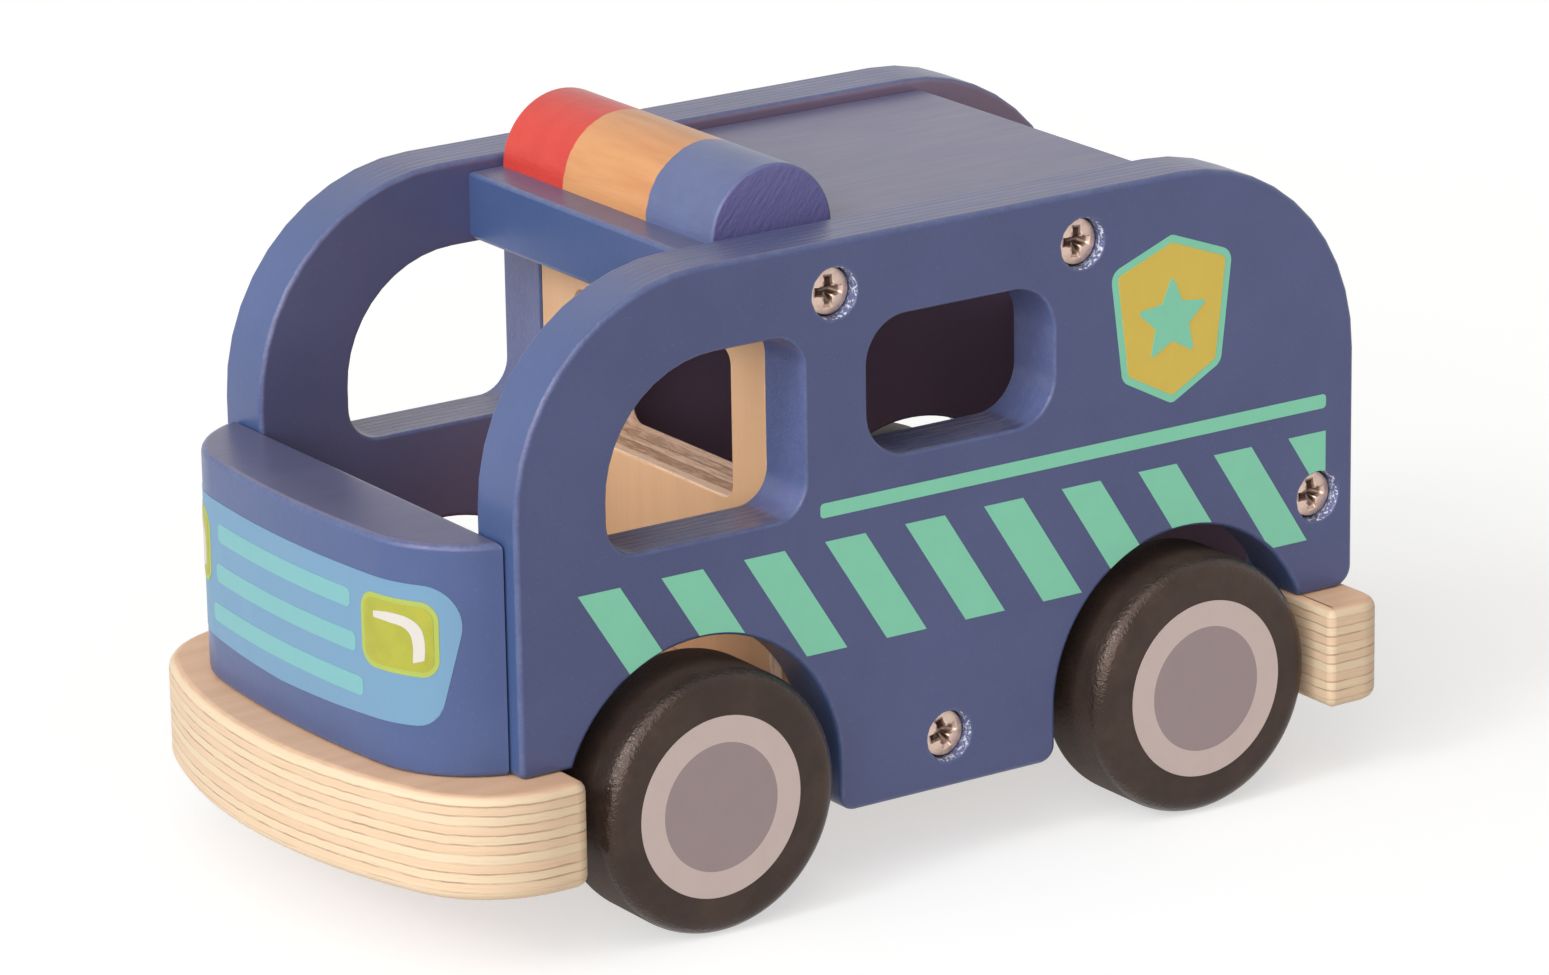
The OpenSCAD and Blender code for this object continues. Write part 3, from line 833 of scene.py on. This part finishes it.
# Nose block: solid wood sawn to a shallow bow, rounded over, painted navy and glued to the bumper
# on two dowels, hard against the side panels, where an eased corner leaves a dark seam.
nose_bow_radius = 180 * mm
nose_corner_radius = 17 * mm
nose_half_width = 36.75 * mm
nose_rounding = 1.0 * mm
nose_seam_gap = 0.35 * mm
nose_seam_depth = 1.5 * mm
nose_low, nose_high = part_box("nose_block")
nose_loop = bow_front(nose_low.x, nose_high.x, nose_half_width, nose_bow_radius, nose_corner_radius)
end_y = nose_loop[-1][1]
nose_loop = ([(nose_low.x, nose_seam_depth - end_y), (nose_low.x + nose_seam_gap, -end_y)] + nose_loop[1:-1]
             + [(nose_low.x + nose_seam_gap, end_y), (nose_low.x, end_y - nose_seam_depth)])
nose = board("painted_nose", [edge_wall(nose_loop, nose_low.z, nose_high.z, nose_rounding)])
nose.data.materials.append(navy_paint("navy_paint_nose", 2, nose_low.z, nose_high.z, 1, 0.0, 0))
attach(nose, "bus")
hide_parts("nose_block")

# Print on the nose: a pale blue grille panel with three turquoise bars and two yellow-green
# headlights, each with a white gleam, screen-printed round the bow a little off its middle.
print_shift = -1.7 * mm
grille_z = (33.4 * mm, 54.5 * mm)
grille_foot_rise = (0.35 * mm, 1.2 * mm)
grille_foot_share = 0.4
grille_top_half = 39.0 * mm
grille_bottom_half = 33.8 * mm
grille_top_radius = 5.5 * mm
grille_bottom_radius = 4.5 * mm
bar_pitch = 6.05 * mm
bar_height = 2.75 * mm
bar_top_z = 51.4 * mm
bar_half_lengths = (18.2 * mm, 19.2 * mm, 20.6 * mm)
bar_rounding = 0.9 * mm
lamp_shift = -2.0 * mm
lamp_reach = 27.73 * mm
lamp_mid_z = 46.8 * mm
lamp_half = (6.73 * mm, 5.35 * mm)
lamp_rounding = 2.7 * mm
lamp_border = 0.75 * mm
gleam_path = ((-3.9, 2.35), (-1.0, 2.5), (1.7, 2.25), (3.35, 1.15), (3.85, -0.9), (3.7, -3.5))
gleam_widths = (0.85, 1.4, 1.6, 1.95, 1.8, 1.65)
gleam_steps = 6
gleam_slant = 3


def on_nose(along, height, proud):
    """A point on the bowed front, by its distance along the bow, its height and how proud it is."""
    bow = bow_corner(nose_high.x, nose_half_width, nose_bow_radius, nose_corner_radius)
    x, corner_x, corner_y, meet = bow
    y = 0.0
    reach = nose_bow_radius + proud
    turn = abs(along) / nose_bow_radius
    past_bow = abs(along) - nose_bow_radius * meet
    if past_bow > 0:
        x = corner_x
        y = corner_y
        reach = nose_corner_radius + proud
        turn = meet + past_bow / nose_corner_radius
    y = copysign(1.0, along) * (y + reach * sin(turn))
    return (x + reach * cos(turn), y, height)


def span_at(loop, along):
    """The lowest and highest point of an outline at one place along the bow."""
    heights = []
    for (u0, v0), (u1, v1) in zip(loop, loop[1:] + loop[:1]):
        if (u0 - along) * (u1 - along) <= 0 and u0 != u1:
            heights.append(v0 + (v1 - v0) * (along - u0) / (u1 - u0))
    return min(heights), max(heights)


def film_strip(name, pairs, layer, film_ink):
    """A film of ink on the nose between pairs of edge points, each given along the bow and in height."""
    mesh = bmesh.new()
    rows = []
    for (u0, v0), (u1, v1) in pairs:
        corners = [(u0, v0, -film), (u1, v1, -film), (u1, v1, layer * film), (u0, v0, layer * film)]
        rows.append([mesh.verts.new(on_nose(*corner)) for corner in corners])
    skin(mesh, rows)
    mesh.faces.new(rows[0])
    mesh.faces.new(rows[-1])
    piece = solid(name, mesh)
    piece.data.materials.append(film_ink)
    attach(piece, "bus")


def nose_film(name, corners, layer, film_ink):
    """A film of ink inside a rounded outline, sliced along the bow so that it follows the curve."""
    loop = rounded(corners)
    start = min(u for u, v in loop)
    end = max(u for u, v in loop)
    slices = 72
    pairs = []
    for i in range(slices + 1):
        share = (1 - cos(pi * i / slices)) / 2
        along = start + (end - start) * min(0.9999, max(0.0001, share))
        low_edge, high_edge = span_at(loop, along)
        pairs.append(((along, low_edge), (along, high_edge)))
    film_strip(name, pairs, layer, film_ink)


def block(mid, half, mid_z, half_z, rounding):
    """The corners of a rounded block of print round its middle."""
    return rectangle(mid - half, mid_z - half_z, mid + half, mid_z + half_z, rounding)


def gleam_pairs(mid):
    """Pairs of edge points along a headlight's gleam, a smooth bend through the points of its path."""
    points = [Vector((mid + u * mm, lamp_mid_z + v * mm, 0)) for u, v in gleam_path]
    last = len(points) - 1
    pairs = []
    for i in range(gleam_steps * last + 1):
        place = i / (gleam_steps * last) * last
        k = min(int(place), last - 1)
        before, here, there, after = (points[min(last, max(0, k + j))] for j in (-1, 0, 1, 2))
        share = place - k
        pull = there - before
        lean = before * 2 - here * 5 + there * 4 - after
        swing = here * 3 - before - there * 3 + after
        bend = (here * 2 + pull * share + lean * share ** 2 + swing * share ** 3) / 2
        slope = (pull + lean * 2 * share + swing * 3 * share ** 2).normalized()
        width = (gleam_widths[k] + (gleam_widths[k + 1] - gleam_widths[k]) * share) * mm
        across = Vector((-slope.y, slope.x, 0)) * width / 2
        pairs.append((tuple((bend - across)[:2]), tuple((bend + across)[:2])))
    pairs[-gleam_slant:] = [(inner, pairs[-gleam_slant][1]) for inner, _ in pairs[-gleam_slant:]]
    return pairs


grille_ink = ink("grille_ink", (0.142, 0.275, 0.42, 1), (0.135, 0.27, 0.41, 1))
bar_ink = ink("bar_ink", (0.167, 0.40, 0.42, 1), (0.165, 0.39, 0.41, 1))
lamp_ink = ink("headlight_ink", (0.37, 0.365, 0.036, 1), (0.27, 0.28, 0.024, 1))
lamp_edge_ink = ink("headlight_edge_ink", (0.36, 0.42, 0.075, 1), (0.33, 0.39, 0.06, 1))
gleam_ink = ink("gleam_ink", (0.60, 0.56, 0.52, 1), (0.57, 0.53, 0.49, 1))
grille_side = [
    (grille_bottom_half * grille_foot_share, grille_z[0] + grille_foot_rise[0], 0),
    (grille_bottom_half, grille_z[0] + grille_foot_rise[1], grille_bottom_radius),
    (grille_top_half, grille_z[1], grille_top_radius),
]
grille_corners = [(print_shift + u, v, radius) for u, v, radius in grille_side]
grille_corners += [(print_shift - u, v, radius) for u, v, radius in reversed(grille_side)]
nose_film("grille_panel", grille_corners + [(print_shift, grille_z[0], 0)], 1, grille_ink)
for number, half in enumerate(bar_half_lengths):
    mid_z = bar_top_z - bar_height / 2 - number * bar_pitch
    bar_block = block(print_shift, half, mid_z, bar_height / 2, bar_rounding)
    nose_film(f"grille_bar_{number + 1}", bar_block, 2, bar_ink)
for hand, way in hands:
    lamp_mid = lamp_shift + way * lamp_reach
    for name, border, layer, lamp_paint in (
        ("headlight_edge", 0, 2, lamp_edge_ink),
        ("headlight", lamp_border, 3, lamp_ink),
    ):
        half_y = lamp_half[0] - border
        half_z = lamp_half[1] - border
        lamp_block = block(lamp_mid, half_y, lamp_mid_z, half_z, lamp_rounding - border)
        nose_film(f"{hand}_{name}", lamp_block, layer, lamp_paint)
    film_strip(f"{hand}_headlight_gleam", gleam_pairs(lamp_mid), 4, gleam_ink)

# Light bar: half of a beech dowel glued across the roof on two dowel pins, its ends dipped in red
# and blue paint and its middle left bare.
bar_end_rounding = 0.5 * mm
red_edge_y = -11.9 * mm
blue_edge_y = 9.4 * mm
paint_edge = 0.12 * mm
low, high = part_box("light_bar")
bar_radius = (high.x - low.x) / 2
bar_x = (high.x + low.x) / 2


def lamp_bar_finish(name):
    """Bare beech in the middle, red paint at the right end and blue paint at the left end."""
    red = (0.57, 0.046, 0.032, 1)
    red_shade = (0.53, 0.038, 0.027, 1)
    blue = (0.105, 0.132, 0.262, 1)
    blue_shade = (0.094, 0.118, 0.24, 1)
    end_blue = (0.135, 0.128, 0.315, 1)
    beech_pale = (0.60, 0.285, 0.118, 1)
    beech_dark = (0.525, 0.228, 0.087, 1)
    material, place = finish(name)
    figure = grain(place, (420, 45, 420), detail=4.0)
    flecks = grain(place, (1700, 300, 1700), detail=2.0)
    saw_turn = {"Vector": place, "Angle": radians(40)}
    slanted = Tone(node(place.tree, "VectorRotate", saw_turn, rotation_type="Y_AXIS"))
    saw_marks = grain(slanted, (1600, 1600, 260), detail=5.0, rough=0.65)
    mottle = ramp(grain(place, 190, detail=4.0), 0.35, 0.7)
    across = parts(place)[1] + (grain(place, 330) - 0.5) * (0.9 * mm)
    wood = mixed(ramp(figure, 0.3, 0.75), beech_pale, beech_dark)
    wood = mixed(ramp(flecks, 0.6, 0.78) * 0.5, wood, beech_dark)
    is_end = ramp(facing(place)[1], 0.6, 0.9)
    is_red = 1.0 - ramp(across, red_edge_y - paint_edge, red_edge_y + paint_edge)
    is_blue = ramp(across, blue_edge_y - paint_edge, blue_edge_y + paint_edge)
    blue_paint = mixed(is_end, mixed(mottle, blue, blue_shade), end_blue)
    colour = mixed(is_red, wood, mixed(mottle, red, red_shade))
    colour = mixed(is_blue, colour, blue_paint)
    height = figure * 0.6 + flecks + saw_marks * is_end * 2.5
    gloss = {"Specular IOR Level": 0.4}
    return coat(material, colour, figure * 0.14 + 0.28, height, 0.06 * mm, gloss)


half_round = arc((bar_x, low.z), bar_radius, 0, 180, step=3.0)
bar_wall = edge_wall(half_round, low.y, high.y, bar_end_rounding)
light_bar = board("half_round_light_bar", [bar_wall], lambda u, v, t: (u, t, v))
light_bar.data.materials.append(lamp_bar_finish("red_bare_and_blue_beech"))
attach(light_bar, "bus")
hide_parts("light_bar")

# Screws: eight zinc-plated steel wood screws with pan heads and cross recesses, four through each
# side panel. Each head is sunk in its counterbore, 1.6 mm below the panel's face.
head_radius = 3.35 * mm
head_height = 2.0 * mm
head_rounding = 0.12 * mm
head_crown = 0.1 * mm
crown_share = 0.85
shank_radius = 1.75 * mm
tip_length = 4 * mm
cross_half_span = 2.45 * mm
cross_half_slot = 0.72 * mm
cross_fillet = 0.25 * mm
cross_depth = 1.4 * mm
cross_overshoot = 0.3 * mm
cross_taper = 0.5
cross_turns = (-2, -4, 5, 17)


def cross_cutter(top):
    """The tapered cross of a screwdriver's tip, reaching down from above the head."""
    s = cross_half_slot
    w = cross_half_span
    quarter = [(w, -s), (w, s), (s + cross_fillet, s), (s, s + cross_fillet)]
    outline = []
    for turn in range(4):
        spin = Matrix.Rotation(radians(90 * turn), 2)
        outline += [tuple(spin @ Vector(corner)) for corner in quarter]
    small = [(u * cross_taper, v * cross_taper) for u, v in outline]
    rings = [(top - cross_depth, small, 0), (top + cross_overshoot, outline, 0)]
    return board("cross_cutter", [rings])


def screw_steel(name):
    """Zinc-plated steel with a warm passivated tint, and painted shade in the cross recess."""
    bright = (0.73, 0.545, 0.45, 1)
    dull = (0.60, 0.43, 0.345, 1)
    dark = (0.06, 0.035, 0.025, 1)
    material, place = finish(name)
    patches = grain(place, 600, detail=4.0)
    fine = grain(place, 4200, detail=2.0)
    recess_shade_share = 1.0 - ramp(parts(place)[2], head_height - 0.6 * mm, head_height - 0.2 * mm)
    colour = mixed(ramp(patches, 0.4, 0.72), bright, dull)
    # painted shade darkens the cross recess
    colour = mixed(recess_shade_share * 0.85, colour, dark)
    return coat(material, colour, fine * 0.2 + 0.3, fine + patches, 0.03 * mm, {"Metallic": 1.0})


head_steel = screw_steel("zinc_plated_screw")
for name, cross_turn in zip(screw_names, cross_turns):
    for hand, way in hands:
        low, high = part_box(f"{hand}_{name}_screw")
        mid_x, mid_z = middle_of(f"{hand}_{name}_screw")
        length = high.y - low.y - head_height
        edge_centre = (head_height - head_crown - head_rounding, head_radius - head_rounding)
        profile = [(-length, 0), (-length + tip_length, shank_radius), (0, shank_radius), (0, head_radius)]
        profile += arc(edge_centre, head_rounding, 90, 0, step=15.0)
        profile += [(head_height - head_crown * share ** 2, head_radius * share * crown_share)
                    for share in (0.9, 0.6, 0.3, 0)]
        screw = turned(f"{hand}_{name}_screw_steel", profile, lambda u, v, t: (u, v, t), steps=64)
        cut_away(screw, cross_cutter(head_height))
        seat = Matrix.Translation((mid_x, way * (abs(panel_high.y) - seat_depth), mid_z))
        spin = Matrix.Rotation(radians(cross_turn * way), 4, "Z")
        screw.matrix_world = seat @ Matrix.Rotation(-way * pi / 2, 4, "X") @ spin
        screw.data.materials.append(head_steel)
        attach(screw, "bus")
        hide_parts(f"{hand}_{name}_screw")

# Dowels: six short beech pins, glued in blind holes under the nose block, the partition and the
# light bar. They are hidden in the finished toy.


def beech(name):
    """Bare beech with a fine upright grain."""
    pale = (0.68, 0.43, 0.23, 1)
    dark = (0.52, 0.29, 0.14, 1)
    material, place = finish(name)
    figure = grain(place, (600, 600, 60), detail=4.0)
    colour = mixed(ramp(figure, 0.3, 0.75), pale, dark)
    return coat(material, colour, figure * 0.15 + 0.5, figure, 0.04 * mm)


dowel_beech = beech("bare_beech_dowel")
for joint in ("nose", "partition", "light"):
    for hand, _ in hands:
        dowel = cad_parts[f"{joint}_{hand}_dowel"]
        dowel.data.materials.clear()
        dowel.data.materials.append(dowel_beech)

# Studio: a white floor under soft light. A broad light and a small one stand ahead of the bus, with
# weaker ones off its left front corner and high above. The floor reads as white and keeps a shadow.
ambient_level = 0.28
ambient_tint = (1.0, 0.955, 0.925, 1)
floor_size = 6.0
floor_bounce = (0.78, 0.75, 0.73, 1)
floor_grey = (0.5, 0.5, 0.5, 1)
floor_glow = 0.57
white = (1, 1, 1, 1)


def seen(tree):
    """1 for the rays that show the background: from the camera, in gloss and through glass."""
    path = node(tree, "LightPath", {})
    shown = maths("MAXIMUM", Tone(path, "Is Camera Ray"), Tone(path, "Is Glossy Ray"))
    return maths("MAXIMUM", shown, Tone(path, "Is Transmission Ray"))


def towards(yaw, lift):
    """The way from the bus to a lamp or to the camera, by its yaw and its lift in degrees."""
    turn = radians(yaw)
    rise = radians(lift)
    return Vector((cos(rise) * cos(turn), cos(rise) * sin(turn), sin(rise)))


world = bpy.data.worlds.new("studio")
scene.world = world
world.use_nodes = True
sky = world.node_tree
sky.nodes.clear()
lit = Tone(node(sky, "Background", {"Color": ambient_tint, "Strength": ambient_level}))
backdrop = Tone(node(sky, "Background", {"Color": white, "Strength": 1.0}))
sky_mix = Tone(node(sky, "MixShader", {0: seen(sky), 1: lit, 2: backdrop}))
node(sky, "OutputWorld", {0: sky_mix})

floor_mesh = bpy.data.meshes.new("studio_floor")
half = floor_size / 2
floor_corners = [(-half, -half, 0), (half, -half, 0), (half, half, 0), (-half, half, 0)]
floor_mesh.from_pydata(floor_corners, [], [(0, 1, 2, 3)])
floor = bpy.data.objects.new("studio_floor", floor_mesh)
scene.collection.objects.link(floor)
floor_finish = bpy.data.materials.new("white_floor")
floor_finish.use_nodes = True
floor_tree = floor_finish.node_tree
floor_tree.nodes.clear()
bounce = Tone(node(floor_tree, "BsdfDiffuse", {"Color": floor_bounce}))
matte = Tone(node(floor_tree, "BsdfDiffuse", {"Color": floor_grey}))
glow = Tone(node(floor_tree, "Emission", {"Color": white, "Strength": floor_glow}))
shown = Tone(node(floor_tree, "AddShader", {0: matte, 1: glow}))
floor_mix = Tone(node(floor_tree, "MixShader", {0: seen(floor_tree), 1: bounce, 2: shown}))
node(floor_tree, "OutputMaterial", {0: floor_mix})
floor.data.materials.append(floor_finish)

for name, level, yaw, lift, spread, tint in (
    ("front_light", 0.54, 3, 25, 54, (0.91, 0.985, 1.0)),
    ("key_light", 0.17, 12, 34, 13, (1.0, 0.99, 0.98)),
    ("corner_light", 0.38, 47, 18, 40, (1.0, 0.97, 0.94)),
    ("high_light", 0.22, 40, 58, 40, (1.0, 0.97, 0.94)),
):
    lamp = bpy.data.lights.new(name, "SUN")
    lamp.energy = level * pi
    lamp.angle = radians(spread)
    lamp.color = tint
    stand = bpy.data.objects.new(name, lamp)
    scene.collection.objects.link(stand)
    stand.rotation_mode = "QUATERNION"
    stand.rotation_quaternion = towards(yaw, lift).to_track_quat("Z", "Y")

# Camera: a long lens, ahead of the bus on its left and a little above it.
camera_place = Vector((0.53069, 0.80117, 0.34756))
camera_yaw = 56.17
camera_lift = 17.34
camera_roll = radians(-0.945)
picture_width = 1549
focal_pixels = 7046.4
back = towards(camera_yaw, camera_lift)
level_right = towards(camera_yaw + 90, 0)
level_up = back.cross(level_right)
right = level_right * cos(camera_roll) + level_up * sin(camera_roll)
aim = Matrix((right, back.cross(right), back)).transposed()
camera = bpy.data.cameras.new("camera")
camera.sensor_width = 36
camera.lens = camera.sensor_width * focal_pixels / picture_width
camera.clip_start = 0.01
camera.clip_end = 20
viewer = bpy.data.objects.new("camera", camera)
scene.collection.objects.link(viewer)
viewer.matrix_world = Matrix.Translation(camera_place) @ aim.to_4x4()
scene.camera = viewer
scene.view_settings.view_transform = "Standard"
